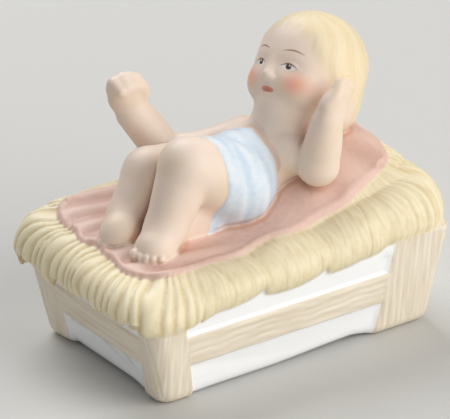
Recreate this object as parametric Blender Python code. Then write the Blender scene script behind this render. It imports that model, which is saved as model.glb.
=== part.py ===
"""Baby lying on a blanket over straw in a manger crate, cast as one piece of bisque porcelain."""
import math

import bmesh
import bpy
import numpy as np
from mathutils import Matrix

# Sizes in millimetres. X runs along the crate towards the head, -Y is the near long side.
CRATE_LENGTH = 82.6
CRATE_WIDTH = 53.6
CRATE_HEIGHT = 25.2
FLARE_X = 4.2
FLARE_Y = 3.3
CORNER_RADIUS = 4.2
FOOT_EDGE = 3.4
POST_AT_FEET = 9.6
POST_AT_HEAD = 18.6
POST_NEAR = 7.6
POST_FAR = 12.5
PANEL_DEPTH = 0.9
RAIL_WIDTH = 8.4
RAIL_MIDDLE = 14.0
RAIL_FADE = 1.0
PLANK_DEPTH = 2.2
HEAD_POST_RISE = 2.0
ARCH_LONG = 0.3
ARCH_RISE = 1.1
ARCH_SHORT = 1.2

STRAW_OVERHANG_FEET = 4.1
STRAW_OVERHANG_HEAD = 1.0
STRAW_OVERHANG_NEAR = 0.7
STRAW_OVERHANG_FAR = 3.4
STRAW_DROP = 2.6
STRAW_SAG = 2.4
STRAW_RISE = 3.0
STRAW_LAP = 0.7
STRAW_HEIGHT = 6.3
STRAW_ROUND = 7.4
STRAW_CORNER_FEET = 10.0
STRAW_CORNER_HEAD = 9.5
STRAW_TURN = 27.0
LUMP_PITCH = 18.6
LUMP_START = -30.7
LUMP_BULGE = 0.8
BUNDLE_PITCH = 2.9
BUNDLE_DEPTH = 0.75

BLANKET_THICKNESS = 1.0
FOLD_DEPTH = 0.45
BLANKET_MARGIN_FEET = 8.7
BLANKET_MARGIN_HEAD = 8.4
BLANKET_MARGIN_NEAR = 9.2
BLANKET_MARGIN_FAR = 8.2

BABY_LENGTH = 78.0
BABY_UNIT = BABY_LENGTH / 78.0
CLOTH_THICKNESS = 0.35
CRATE_SEAM = 0.8
BODY_SEAM = 1.8

# The head's own axes: towards the baby's left, up to the crown and out of the face
HEAD = np.array((22.2, 0.0, 39.8))
HEAD_SIZE = 1.09
HEAD_AXES = np.array(((0.20, -0.975, 0.10), (0.461, 0.184, 0.870), (-0.866, -0.128, 0.486)))
HEAD_AXES /= np.linalg.norm(HEAD_AXES, axis=1)[:, None]

MM = 0.001
CLAY_GRAIN = 1.0
FACES = 9800
REACH = 4.0
FAR = 99.0


def at_head(x, y, z):
    return HEAD + HEAD_SIZE * np.array((x, y, z)) @ HEAD_AXES


def smooth_line(rows, per_span=4):
    """Points on a Catmull-Rom line through the given rows."""
    rows = np.array(rows, float)
    ends = np.vstack((2 * rows[0] - rows[1], rows, 2 * rows[-1] - rows[-2]))
    out = []
    for a, b, c, d in zip(ends, ends[1:], ends[2:], ends[3:]):
        for t in np.arange(per_span) / per_span:
            turn = 2 * a - 5 * b + 4 * c - d
            out.append(0.5 * (2 * b + (c - a) * t + turn * t**2 + (3 * b - a - 3 * c + d) * t**3))
    out.append(rows[-1])
    return np.array(out)


class Ball:
    """An ellipsoid of clay."""

    def __init__(self, centre, radii, blend=1.0, axes=None):
        self.centre = np.array(centre, float)
        self.radii = np.ones(3) * radii
        self.axes = np.eye(3) if axes is None else np.array(axes, float)
        self.blend = blend
        self.middle, self.size = self.centre, self.radii.max()

    def distance(self, p):
        q = (p - self.centre) @ self.axes.T
        near = np.linalg.norm(q / self.radii, axis=1)
        slope = np.linalg.norm(q / self.radii**2, axis=1)
        return np.where(near < 0.1, -self.radii.min(), near * (near - 1) / np.maximum(slope, 1e-9))

    def add_to(self, bm, place):
        turn = Matrix(self.axes.T.tolist()).to_4x4()
        own = Matrix.Translation(self.centre.tolist()) @ turn @ Matrix.Diagonal((*self.radii, 1))
        bmesh.ops.create_icosphere(bm, subdivisions=3, radius=1, matrix=place @ own)


class Limb:
    """A round limb of clay along a smooth line of points, each with its own radius."""

    def __init__(self, rows, blend=1.0):
        self.line = smooth_line(rows)
        self.blend = blend
        self.middle = (self.line[0, :3] + self.line[-1, :3]) / 2
        spread = np.linalg.norm(self.line[:, :3] - self.middle, axis=1) + self.line[:, 3]
        self.size = spread.max()

    def distance(self, p):
        best = np.full(len(p), FAR)
        for a, b in zip(self.line, self.line[1:]):
            along = b[:3] - a[:3]
            t = np.clip((p - a[:3]) @ along / (along @ along), 0, 1)
            gap = np.linalg.norm(p - a[:3] - t[:, None] * along, axis=1)
            best = np.minimum(best, gap - a[3] - t * (b[3] - a[3]))
        return best

    def add_to(self, bm, place):
        for x, y, z, r in self.line:
            own = Matrix.Translation((x, y, z)) @ Matrix.Scale(r, 4)
            bmesh.ops.create_icosphere(bm, subdivisions=2, radius=1, matrix=place @ own)


def melt(a, b, blend):
    """The lower of two distances, with a soft joint."""
    h = np.clip(0.5 + 0.5 * (a - b) / blend, 0, 1)
    return a * (1 - h) + b * h - blend * h * (1 - h)


def melted(parts, p, total=None):
    """The joined distance of the parts, each worked out only where it is close."""
    total = np.full(len(p), FAR) if total is None else total
    for part in parts:
        close = ((p - part.middle) ** 2).sum(1) < (part.size + REACH) ** 2
        if close.any():
            total[close] = melt(total[close], part.distance(p[close]), part.blend)
    return total


def step(x, low, high):
    t = np.clip((x - low) / (high - low), 0, 1)
    return t * t * (3 - 2 * t)


def bump(x, width):
    return np.exp(-(x / width) ** 2)


def rounded(x, y, half_x, half_y, radius):
    """Plan distance outside a rectangle with round corners."""
    qx, qy = np.abs(x) - half_x + radius, np.abs(y) - half_y + radius
    return np.hypot(np.maximum(qx, 0), np.maximum(qy, 0)) + np.minimum(np.maximum(qx, qy), 0) - radius


# Baby, in its own units from the middle of the crate's top edge
def head_ball(x, y, z, radii, blend=1.0):
    return Ball(at_head(x, y, z), HEAD_SIZE * np.array(radii), blend * HEAD_SIZE, HEAD_AXES)


def head_limb(rows, blend=1.0):
    return Limb([(*at_head(x, y, z), r * HEAD_SIZE) for x, y, z, r in rows], blend * HEAD_SIZE)


def head_parts():
    parts = [
        head_ball(0, 1.4, -1.2, (12.3, 12.0, 13.2)),
        head_ball(0, -3.8, 3.4, (9.8, 8.8, 9.0), 3.0),
        head_ball(0, -9.6, 1.5, (6.5, 4.5, 6.5), 3.0),
        head_ball(0, -10.2, 7.6, (3.6, 2.7, 3.2), 2.0),
        head_ball(0, -6.2, -4.6, (10.6, 9.4, 10.6), 3.0),
    ]
    for side in (-1, 1):
        parts.append(head_ball(side * 5.2, -5.9, 6.3, (4.4, 4.2, 4.4), 2.2))
    parts.append(head_limb([(0, -1.0, 11.4, 0.9), (0, -4.2, 12.9, 1.15)], 1.3))
    for side in (-1, 1):
        parts.append(head_ball(side * 1.05, -4.6, 12.3, (0.8, 0.65, 0.8), 0.7))
        parts.append(head_ball(side * 12.0, -2.8, -1.2, (1.3, 2.5, 1.9), 0.5))
    parts.append(head_ball(0, -7.0, 11.55, (1.55, 0.5, 0.8), 0.5))
    parts.append(head_ball(0, -8.0, 11.2, (1.2, 0.5, 0.8), 0.45))
    return parts


def torso_parts():
    return [
        Ball((9.0, 0, 19.6), (8.6, 11.2, 7.8)),
        Ball((1.0, 0, 17.0), (10.5, 11.6, 10.2), 3.0),
        Ball((-6.0, 0, 14.6), (9.5, 11.8, 9.0), 3.0),
        Ball((9.0, 9.3, 21.6), 5.2, 2.6),
        Ball((10.6, -9.3, 23.2), 5.2, 3.0),
        Limb([(12.0, 0, 23.4, 7.8), (*at_head(0, -11.0, 2.9), 8.3)], 3.0),
    ]


def right_arm():
    wrist, palm = np.array((-14.9, 23.2, 29.4)), np.array((-16.6, 23.9, 34.4))
    parts = [
        Limb([(9.0, 9.3, 21.6, 5.2), (-0.6, 14.2, 18.9, 4.9), (-8.0, 19.6, 17.8, 4.9)], 2.0),
        Limb([(-8.0, 19.6, 17.8, 4.9), (-11.4, 21.8, 24.0, 4.9), (*wrist, 4.6)], 1.2),
        Ball(palm, (5.0, 3.7, 5.0), 1.6),
        Ball(palm + (-0.2, -1.6, 1.6), (4.4, 2.7, 3.8), 1.5),
    ]
    for out in (-3.4, -1.2, 1.0, 3.0):
        base = palm + (out, 0.4, 2.4)
        bend = palm + (out - 0.3, -0.6, 4.9 - 0.09 * (out + 0.6) ** 2)
        tip = palm + (0.85 * out - 0.4, -3.1, 3.4 - 0.06 * out**2)
        parts.append(Limb([(*base, 1.9), (*bend, 1.75), (*tip, 1.5)], 1.0))
    thumb = [(2.6, -1.0, -2.0, 2.2), (3.4, -2.2, 0.3, 1.9), (3.3, -2.8, 2.2, 1.6)]
    parts.append(Limb([(*(palm + row[:3]), row[3]) for row in thumb], 0.8))
    return parts


def left_arm():
    parts = [
        Limb([(10.6, -9.3, 23.2, 5.0), (12.4, -13.0, 22.2, 4.4), (13.0, -16.8, 21.6, 5.1)], 0.8),
        Limb([(13.0, -16.8, 21.6, 5.1), (13.6, -17.9, 27.2, 4.8), (14.4, -18.5, 32.8, 4.0)], 1.0),
        Ball((15.9, -18.7, 36.6), (3.1, 4.4, 5.0), 1.6, PALM_AXES),
    ]
    for out in (-2.5, -0.9, 0.8, 2.4):
        base = np.array((16.6, -18.7, 38.0)) + out * PALM_AXES[1]
        tip = base + np.array((2.0, -0.1, 5.0 - 0.22 * out**2)) - 0.35 * out * PALM_AXES[1]
        middle = (base + tip) / 2 - 0.6 * PALM_AXES[0]
        parts.append(Limb([(*base, 1.8), (*middle, 1.7), (*tip, 1.3)], 1.1))
    parts.append(Limb([(17.6, -19.0, 34.8, 1.9), (18.8, -18.9, 37.4, 1.5), (19.2, -18.8, 39.0, 1.2)], 1.0))
    return parts


PALM_AXES = np.array(((-0.30, 0.95, 0.05), (0.95, 0.30, -0.05), (-0.06, 0.03, 1.0)))
PALM_AXES /= np.linalg.norm(PALM_AXES, axis=1)[:, None]


def leg(hip, knee, ankle, toes, thigh_r, knee_r, calf_r, ankle_r):
    """Thigh, shin, foot and five toes from four joints, each an x, y, z."""
    hip, knee, ankle, toes = (np.array(j, float) for j in (hip, knee, ankle, toes))
    calf = knee + 0.45 * (ankle - knee)
    mid = hip + 0.5 * (knee - hip)
    ahead = (toes - ankle) / np.linalg.norm(toes - ankle)
    across = np.cross((0, 0, 1), ahead)
    across /= np.linalg.norm(across)
    parts = [
        Limb([(*hip, thigh_r), (*mid, (thigh_r + knee_r) / 2 + 0.4), (*knee, knee_r)], 2.5),
        Limb([(*knee, knee_r), (*calf, calf_r), (*ankle, ankle_r)], 1.0),
        Limb([(*ankle, ankle_r), (*(ankle + 0.6 * (toes - ankle)), 4.8)], 1.4),
        Ball(toes - 2.2 * ahead, (5.2, 5.0, 4.4), 1.8, (ahead, across, np.cross(ahead, across))),
    ]
    return parts, toes, ahead, across


def toe_parts(toes, ahead, across, big_side):
    parts = []
    for i, r in enumerate((1.8, 1.5, 1.4, 1.35, 1.25)):
        out = big_side * (2.7 - 1.45 * i)
        centre = toes + out * across + (1.5 - 0.12 * i * i) * ahead
        parts.append(Ball(centre, (r, r, r), 0.4))
    return parts


def left_leg():
    parts, *foot = leg((-4.5, -5.5, 17.0), (-19.6, -7.6, 26.6), (-27.2, -9.0, 12.6), (-34.2, -12.3, 6.8),
                       10.0, 7.1, 6.2, 5.2)
    return parts + toe_parts(*foot, -1.0)


def right_leg():
    parts, *foot = leg((-4.5, 6.0, 15.0), (-21.6, 6.4, 20.2), (-29.6, 4.4, 11.8), (-36.3, -1.0, 8.0),
                       9.6, 6.8, 6.0, 5.0)
    return parts + toe_parts(*foot, 1.0)


HEAD_PARTS = head_parts()
LIMB_PARTS = torso_parts() + right_arm() + left_arm()
LEG_PARTS = [left_leg(), right_leg()]
FILL = [
    Ball((-13.0, -5.5, 14.0), (9.5, 5.6, 9.5), 2.0),
    Ball((-18.5, -6.5, 9.5), (7.5, 4.2, 6.5), 2.0),
    Ball((-16.0, 5.5, 12.0), (8.0, 5.0, 7.0), 2.0),
]


def cloth_edge(q):
    """How far inside the cloth's two edges a point lies."""
    waist = 4.2 - 0.03 * q[:, 1] - q[:, 0]
    thigh = q[:, 0] + 13.0 + 0.3 * np.maximum(20 - q[:, 2], 0)
    return np.minimum(waist, thigh)


def cloth_relief(q):
    on = cloth_edge(q)
    round_body = np.arctan2(q[:, 1], q[:, 2] - 14)
    fold = 0.12 * np.sin(0.85 * q[:, 0] + 2.2 * np.sin(1.3 * round_body + 0.4) + 0.5 * round_body)
    fold += 0.08 * np.sin(1.7 * q[:, 0] - 2.9 * np.sin(0.9 * round_body) + 1.1)
    return step(on, -0.25, 0.45) * (CLOTH_THICKNESS + fold * step(on, 0.3, 2.5))


def body_surface(p):
    """Distance to the baby."""
    q = (p - np.array((0, 0, CRATE_HEIGHT))) / BABY_UNIT
    body = melted(LIMB_PARTS, q)
    body = melted(FILL, q, body)
    for parts in LEG_PARTS:
        one = melted(parts, q)
        body = melt(body, one, 1.6)
    trunk = bump(q[:, 1], 15.0) * (q[:, 2] < 33)
    body = body - cloth_relief(q) * trunk
    head = melted(HEAD_PARTS, q)
    for side in (-1, 1):
        e = (q - at_head(side * 4.3, -1.6, 12.0)) @ HEAD_AXES.T / HEAD_SIZE
        head = head + 0.75 * bump(e[:, 0], 2.6) * bump(e[:, 1], 1.7) * bump(e[:, 2], 4.0)
    return BABY_UNIT * melt(body, head, 1.5)


# Crate
def crate_plan(z):
    rise = z / CRATE_HEIGHT
    return CRATE_LENGTH / 2 + FLARE_X * rise, CRATE_WIDTH / 2 + FLARE_Y * rise


def crate_top(x):
    """Height of the crate's top edge, which steps up to the posts at the head."""
    return CRATE_HEIGHT + HEAD_POST_RISE * step(x, 20, 32)


def crate_zones(p):
    """Shares of post, rail and plank at each point of the crate's sides."""
    x, y, z = p.T
    half_x, half_y = crate_plan(z)
    along = np.maximum(step(-x, half_x - POST_AT_FEET - 0.5, half_x - POST_AT_FEET + 0.5),
                       step(x, half_x - POST_AT_HEAD - 1.5, half_x - POST_AT_HEAD + 1.5))
    across = np.maximum(step(-y, half_y - POST_NEAR - 0.5, half_y - POST_NEAR + 0.5),
                        step(y, half_y - POST_FAR - 0.8, half_y - POST_FAR + 0.8))
    on_long = np.abs(y) - half_y > np.abs(x) - half_x
    rail = step(z, RAIL_MIDDLE - RAIL_WIDTH / 2 - 0.3, RAIL_MIDDLE - RAIL_WIDTH / 2 + 0.3)
    rail_top = RAIL_MIDDLE + RAIL_WIDTH / 2
    rail = rail * (1 - step(z, rail_top - RAIL_FADE, rail_top + RAIL_FADE))
    plank = step(z, CRATE_HEIGHT - PLANK_DEPTH - 0.3, CRATE_HEIGHT - PLANK_DEPTH + 0.3)
    return along, across, on_long, rail, plank


def crate_surface(p):
    x, y, z = p.T
    half_x, half_y = crate_plan(z)
    along, across, on_long, rail, plank = crate_zones(p)
    post = np.where(on_long, along, across)
    proud = np.maximum(np.maximum(post, rail), plank)
    side = rounded(x, y, half_x, half_y, CORNER_RADIUS) + PANEL_DEPTH * (1 - proud)
    post_x = np.where(x < 0, POST_AT_FEET, POST_AT_HEAD)
    foot_x = 1 - step(half_x - np.abs(x), post_x - 3, post_x + 7)
    foot_y = 1 - step(half_y - np.abs(y), POST_NEAR - 2, POST_NEAR + 8)
    arch = ARCH_LONG + ARCH_RISE * step(x, -10, 18)
    low = arch * (1 - foot_x) + ARCH_SHORT * (1 - foot_y) * foot_x - z
    high = z - crate_top(x)
    d = -melt(-side, -low, FOOT_EDGE)
    return -melt(-d, -high, 1.0)


# Straw and blanket
def bed_frame(p):
    """Plan distance outside the straw's outline, and the way along that outline."""
    x, y, _ = p.T
    top_x, top_y = crate_plan(CRATE_HEIGHT)
    half_x = top_x + (STRAW_OVERHANG_FEET + STRAW_OVERHANG_HEAD) / 2
    half_y = top_y + (STRAW_OVERHANG_NEAR + STRAW_OVERHANG_FAR) / 2
    x = x + (STRAW_OVERHANG_FEET - STRAW_OVERHANG_HEAD) / 2
    y = y - (STRAW_OVERHANG_FAR - STRAW_OVERHANG_NEAR) / 2
    r = STRAW_CORNER_FEET + (STRAW_CORNER_HEAD - STRAW_CORNER_FEET) * step(x, -15, 15)
    out = rounded(x, y, half_x, half_y, r)
    r = STRAW_TURN
    core_x, core_y = half_x - r, half_y - r
    cx, cy = np.clip(x, -core_x, core_x), np.clip(y, -core_y, core_y)
    turn = np.arctan2(np.abs(y - cy), np.abs(x - cx) + 1e-9)
    quarter = r * math.pi / 2
    along_long = core_y + quarter + (core_x - np.abs(cx))
    along_short = np.abs(cy)
    s = np.where(np.abs(x) > core_x, along_short + r * turn * (np.abs(y) > core_y), along_long)
    return out, s * np.sign(y)


def blanket_edge(p):
    """How far inside the blanket's edge a point lies, in plan."""
    x, y, _ = p.T
    top_x, top_y = crate_plan(CRATE_HEIGHT)
    left = -top_x - STRAW_OVERHANG_FEET + BLANKET_MARGIN_FEET
    right = top_x + STRAW_OVERHANG_HEAD - BLANKET_MARGIN_HEAD
    near = -top_y - STRAW_OVERHANG_NEAR + BLANKET_MARGIN_NEAR
    far = top_y + STRAW_OVERHANG_FAR - BLANKET_MARGIN_FAR
    u, v = x - (left + right) / 2, y - (near + far) / 2
    radius = 7.0 + 8.5 * step(u, -12, 18)
    margin = -rounded(u, v, (right - left) / 2, (far - near) / 2, radius)
    angle = np.arctan2(v * 1.7, u)
    return margin + 0.55 * np.sin(9 * angle + 0.8) + 0.4 * np.sin(17 * angle + 2.0)


def blanket_folds(x, y):
    """Soft folds: along the crate at the feet, and fanning out around the head."""
    at_feet = step(-x, 8, 24) * np.sin(0.78 * y + 0.22 * x + 0.9 + 0.6 * np.sin(0.15 * x))
    angle = np.arctan2(y - 1, x - 18)
    fan = step(np.hypot(x - 18, y - 1), 9, 20) * step(x, 6, 20) * np.sin(9 * angle + 0.5)
    return FOLD_DEPTH * (at_feet + 0.8 * fan)


def top_height(x, y):
    """Height of the bedding over the crate's top edge, without straw or blanket relief."""
    u, v = x / BABY_UNIT, y / BABY_UNIT
    rim = STRAW_HEIGHT + 0.07 * (y + 21) + 1.8 * step(x, -22, 8)
    rim = rim + 5.4 * step(x, 2, 34) + 1.5 * step(x, 28, 41)
    rim = rim - 1.3 * step(-x, 34, 42)
    end = 1 - 0.92 * step(u, 28, 45)
    dome = np.clip(1 - ((v - 1) / 23.5) ** 2, 0, 1) ** 0.9
    return CRATE_HEIGHT + rim + 9.0 * step(u, -8, 16) * end * dome * BABY_UNIT


def bed_surface(p):
    x, y, z = p.T
    out, way = bed_frame(p)
    inside = blanket_edge(p)
    on_blanket = step(inside, -0.5, 0.7)
    at_feet = step(-x, 24, 38)
    at_head_end = step(x, 26, 38)
    t = np.mod((x - LUMP_START) / LUMP_PITCH, 1.0)
    side_on = (1 - at_feet) * (1 - at_head_end)
    lump = np.sin(math.pi * t) ** 0.6 * side_on
    straw = LUMP_BULGE * (lump - 0.5 * side_on)
    drift = 0.7 * np.sin(0.37 * way) + 0.4 * np.sin(0.83 * way + 1) + 0.5 * np.sin(0.3 * out + 0.5 * way)
    bundle = np.abs(np.sin(math.pi * (way + drift) / BUNDLE_PITCH))
    bundle = BUNDLE_DEPTH * (bundle**0.7 - 0.7) * (at_feet + 0.5 * at_head_end)
    top = top_height(x, y)
    low = CRATE_HEIGHT - STRAW_DROP + 1.6 * t**3 * side_on + STRAW_RISE * step(x, 0, 32)
    low = low - STRAW_SAG * step(-x, 25, 33) * (1 - 0.85 * bump(y + 4, 6.5))
    low = np.minimum(low, crate_top(x) - STRAW_LAP)
    mid = low + 4.0
    straw = (straw + bundle * step(z, low - 0.5, mid)) * (1 - on_blanket)
    above = z > mid
    width = np.where(above, STRAW_ROUND, 3.0)
    height = np.where(above, top - mid, 4.0)
    qu, qz = np.maximum(out + width, 0) / width, np.abs(z - mid) / height
    near = np.hypot(qu, qz)
    slope = np.hypot(qu / width, qz / height)
    d = np.where(near < 0.25, -3.0, near * (near - 1) / np.maximum(slope, 1e-9))
    folds = blanket_folds(x, y) * step(inside, 0.2, 3.0)
    return d - straw - (BLANKET_THICKNESS + folds) * on_blanket * (z > mid)


def surface(p):
    d = melt(crate_surface(p), bed_surface(p), CRATE_SEAM)
    return melt(d, body_surface(p), BODY_SEAM)


def settle(mesh, rounds=5, tolerance=0.004):
    """Moves the vertices onto the surface."""
    co = np.empty(len(mesh.vertices) * 3)
    mesh.vertices.foreach_get("co", co)
    p = co.reshape(-1, 3)
    h = 0.05
    active = np.arange(len(p))
    for _ in range(rounds):
        q = p[active]
        d = surface(q)
        grad = np.stack([(surface(q + h * e) - d) / h for e in np.eye(3)], 1)
        move = -(d / np.maximum((grad**2).sum(1), 0.15))[:, None] * grad
        length = np.linalg.norm(move, axis=1)
        p[active] = q + move * np.minimum(1, 1.5 / np.maximum(length, 1e-9))[:, None]
        active = active[length > tolerance]
        if not len(active):
            break
    mesh.vertices.foreach_set("co", p.astype(np.float32).ravel())
    mesh.update()


def clay_blocks(bm):
    """Rough solids that fill the whole shape."""
    place = Matrix.Translation((0, 0, CRATE_HEIGHT)) @ Matrix.Scale(BABY_UNIT, 4)
    for part in HEAD_PARTS + LIMB_PARTS + FILL + LEG_PARTS[0] + LEG_PARTS[1]:
        part.add_to(bm, place)
    top_x, top_y = crate_plan(CRATE_HEIGHT)
    h = CRATE_HEIGHT
    blocks = ((-0.97, 0.97, 0.96, 1.0, h, 3.0), (-1.06, 1.04, 1.05, h - 1.0, h + 5.5, 9.0),
              (0.1, 1.0, 0.95, h, h + 9.0, 12.0))
    for x0, x1, half_y, z0, z1, corner in blocks:
        size = Matrix.Diagonal((top_x * (x1 - x0), 2 * top_y * half_y, z1 - z0, 1))
        middle = Matrix.Translation((top_x * (x0 + x1) / 2, 0, (z0 + z1) / 2))
        verts = bmesh.ops.create_cube(bm, size=1, matrix=middle @ size)["verts"]
        edges = {e for v in verts for e in v.link_edges if abs(e.verts[0].co.z - e.verts[1].co.z) > 1}
        bmesh.ops.bevel(bm, geom=list(edges), offset=corner, segments=5, profile=0.5, affect="EDGES")
    mound = Matrix.Translation((24, 1, 6)) @ Matrix.Diagonal((20, 20, 15, 1))
    bmesh.ops.create_icosphere(bm, subdivisions=3, radius=1, matrix=place @ mound)


def remeshed(mesh, voxel):
    obj = bpy.data.objects.new("clay", mesh)
    bpy.context.scene.collection.objects.link(obj)
    mod = obj.modifiers.new("Remesh", "REMESH")
    mod.mode = "VOXEL"
    mod.voxel_size = voxel
    out = bpy.data.meshes.new_from_object(obj.evaluated_get(bpy.context.evaluated_depsgraph_get()))
    bpy.data.objects.remove(obj)
    return out


def build():
    bm = bmesh.new()
    clay_blocks(bm)
    mesh = bpy.data.meshes.new("rough")
    bm.to_mesh(mesh)
    bm.free()
    for _ in range(2):
        mesh = remeshed(mesh, CLAY_GRAIN)
        settle(mesh)
    obj = bpy.data.objects.new("clay", mesh)
    bpy.context.scene.collection.objects.link(obj)
    mod = obj.modifiers.new("Decimate", "DECIMATE")
    mod.ratio = FACES / (2 * len(mesh.polygons))
    out = bpy.data.meshes.new_from_object(obj.evaluated_get(bpy.context.evaluated_depsgraph_get()))
    bpy.data.objects.remove(obj)
    co = np.empty(len(out.vertices) * 3)
    out.vertices.foreach_get("co", co)
    p = co.reshape(-1, 3)
    p[p[:, 2] < 0.06, 2] = 0.0
    p[:, :2] -= (p[:, :2].max(0) + p[:, :2].min(0)) / 2
    out.vertices.foreach_set("co", (p * MM).astype(np.float32).ravel())
    out.update()
    return out


def porcelain():
    material = bpy.data.materials.new("bisque_porcelain")
    material.use_nodes = True
    shader = material.node_tree.nodes["Principled BSDF"]
    shader.inputs["Base Color"].default_value = (0.80, 0.70, 0.58, 1.0)
    shader.inputs["Roughness"].default_value = 0.55
    shader.inputs["Metallic"].default_value = 0.0
    return material


for old in list(bpy.data.objects):
    bpy.data.objects.remove(old)

figurine = bpy.data.objects.new("baby_jesus_in_manger", build())
bpy.context.scene.collection.objects.link(figurine)
figurine.data.materials.append(porcelain())
figurine.data.shade_smooth()
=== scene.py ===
"""Looks for the bisque porcelain baby in a manger crate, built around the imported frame."""
import math

import bmesh
import bpy
import numpy as np
from mathutils import Matrix, Vector


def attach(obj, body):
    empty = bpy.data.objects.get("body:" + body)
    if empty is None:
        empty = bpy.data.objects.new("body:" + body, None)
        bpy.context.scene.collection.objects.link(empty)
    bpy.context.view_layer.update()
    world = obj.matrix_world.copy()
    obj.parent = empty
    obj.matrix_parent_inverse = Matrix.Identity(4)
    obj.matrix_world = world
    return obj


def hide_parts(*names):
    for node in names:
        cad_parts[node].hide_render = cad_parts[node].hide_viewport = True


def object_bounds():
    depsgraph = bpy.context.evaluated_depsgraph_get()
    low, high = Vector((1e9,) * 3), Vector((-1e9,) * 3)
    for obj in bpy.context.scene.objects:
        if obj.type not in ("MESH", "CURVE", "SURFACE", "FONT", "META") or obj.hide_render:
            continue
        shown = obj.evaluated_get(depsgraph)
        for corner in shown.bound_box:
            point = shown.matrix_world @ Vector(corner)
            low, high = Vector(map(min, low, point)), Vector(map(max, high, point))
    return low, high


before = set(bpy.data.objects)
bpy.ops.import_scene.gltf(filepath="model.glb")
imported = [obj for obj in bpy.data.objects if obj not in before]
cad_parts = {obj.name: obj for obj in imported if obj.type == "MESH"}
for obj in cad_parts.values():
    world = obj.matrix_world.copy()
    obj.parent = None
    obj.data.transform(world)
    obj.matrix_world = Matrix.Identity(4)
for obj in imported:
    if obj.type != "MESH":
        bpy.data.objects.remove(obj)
cad_low, cad_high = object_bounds()
NODE = "baby_jesus_in_manger"
MM = 0.001

# Sizes in millimetres. X runs along the crate towards the head, -Y is the near long side.
CRATE_LENGTH = 82.6
CRATE_WIDTH = 53.6
CRATE_HEIGHT = 25.2
FLARE_X = 4.2
FLARE_Y = 3.3
CORNER_RADIUS = 4.2
FOOT_EDGE = 3.4
POST_AT_FEET = 9.6
POST_AT_HEAD = 18.6
POST_NEAR = 7.6
POST_FAR = 12.5
PANEL_DEPTH = 0.9
RAIL_WIDTH = 8.4
RAIL_MIDDLE = 14.0
RAIL_FADE = 1.0
PLANK_DEPTH = 2.2
HEAD_POST_RISE = 2.0
ARCH_LONG = 0.3
ARCH_RISE = 1.1
ARCH_SHORT = 1.2
POST_EDGE = 0.5
POST_EDGE_HEAD = 1.5
POST_EDGE_FAR = 0.8
RAIL_EDGE = 0.3
NEAR_PANEL_START = (-22, -14)
NEAR_PANEL_END = (22, 30)
FLUTE_DEPTH = 0.16
GRAIN_DEPTH = 0.2

STRAW_OVERHANG_FEET = 4.1
STRAW_OVERHANG_HEAD = 1.0
STRAW_OVERHANG_NEAR = 0.7
STRAW_OVERHANG_FAR = 3.4
STRAW_DROP = 2.6
STRAW_SAG = 2.4
STRAW_RISE = 3.0
STRAW_LAP = 0.7
STRAW_HEIGHT = 6.3
STRAW_ROUND = 7.4
STRAW_CORNER_FEET = 10.0
STRAW_CORNER_HEAD = 9.5
STRAW_TURN = 27.0
LUMP_PITCH = 18.6
LUMP_START = -30.7
LUMP_BULGE = 0.8
BUNDLE_PITCH = 2.9
BUNDLE_DEPTH = 0.75
STRAND_PITCH = 1.5
STRAND_DEPTH = 0.22
GROOVE_PITCH = 8.3
GROOVE_WIDTH = 0.55
UNDER_ROUND = 3.0
UNDER_HEIGHT = 4.0
DOME_HEIGHT = 9.0
DOME_HALF_WIDTH = 23.5

BLANKET_THICKNESS = 1.0
FOLD_DEPTH = 0.45
RIM_HEIGHT = 0.22
BLANKET_MARGIN_FEET = 8.7
BLANKET_MARGIN_HEAD = 8.4
BLANKET_MARGIN_NEAR = 9.2
BLANKET_MARGIN_FAR = 8.2
BLANKET_CORNER_FEET = 7.0
BLANKET_CORNER_HEAD = 15.5

CLOTH_THICKNESS = 0.35
CLOTH_FOLD = 0.12
CLOTH_RIPPLE = 0.08
CLOTH_TOP = 33.0
HAIR_RELIEF = 0.28
LOCK_RELIEF = 0.045
SOCKET_DEPTH = 0.75
LIP_LINE_DEPTH = 0.3
FOOT_BACK = 2.6
FOOT_RADII = (4.7, 5.0, 4.4)
TOE_RADII = (1.6, 1.15, 1.1, 1.0, 0.9)
TOE_PITCH = 1.65
CRATE_SEAM = 0.8
BODY_SEAM = 1.0
ARM_SEAM = 1.2
LEG_SEAM = 1.6
NECK_SEAM = 1.5

# The head's own axes: towards the baby's left, up to the crown and out of the face
HEAD = np.array((22.2, 0.0, 39.8))
HEAD_SIZE = 1.09
HEAD_AXES = np.array(((0.20, -0.975, 0.10), (0.461, 0.184, 0.870), (-0.866, -0.128, 0.486)))
HEAD_AXES /= np.linalg.norm(HEAD_AXES, axis=1)[:, None]

# How the clay is worked: how far a part's joint reaches, and the sizes of the remeshing
REACH = 4.0
FAR = 99.0
ROUGH_GRAIN = 0.9
FINE_GRAIN = 0.42
FACES = 190000
PROBE = 0.05
LEAST_SLOPE = 0.15
LONGEST_MOVE = 1.5
# How far out the painted crease shade looks for surfaces closing in
CREASE_SHADE_REACH = 1.6


def at_head(x, y, z):
    """A place given in the head's own axes and units."""
    return HEAD + HEAD_SIZE * np.array((x, y, z)) @ HEAD_AXES


def in_head(q):
    """Places in the head's own axes and units."""
    return (q - HEAD) @ HEAD_AXES.T / HEAD_SIZE


def smooth_line(rows, per_span=7):
    """Points on a Catmull-Rom line through the given rows."""
    rows = np.array(rows, float)
    ends = np.vstack((2 * rows[0] - rows[1], rows, 2 * rows[-1] - rows[-2]))
    out = []
    for a, b, c, d in zip(ends, ends[1:], ends[2:], ends[3:]):
        for t in np.arange(per_span) / per_span:
            turn = 2 * a - 5 * b + 4 * c - d
            out.append(0.5 * (2 * b + (c - a) * t + turn * t**2 + (3 * b - a - 3 * c + d) * t**3))
    out.append(rows[-1])
    return np.array(out)


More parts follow.
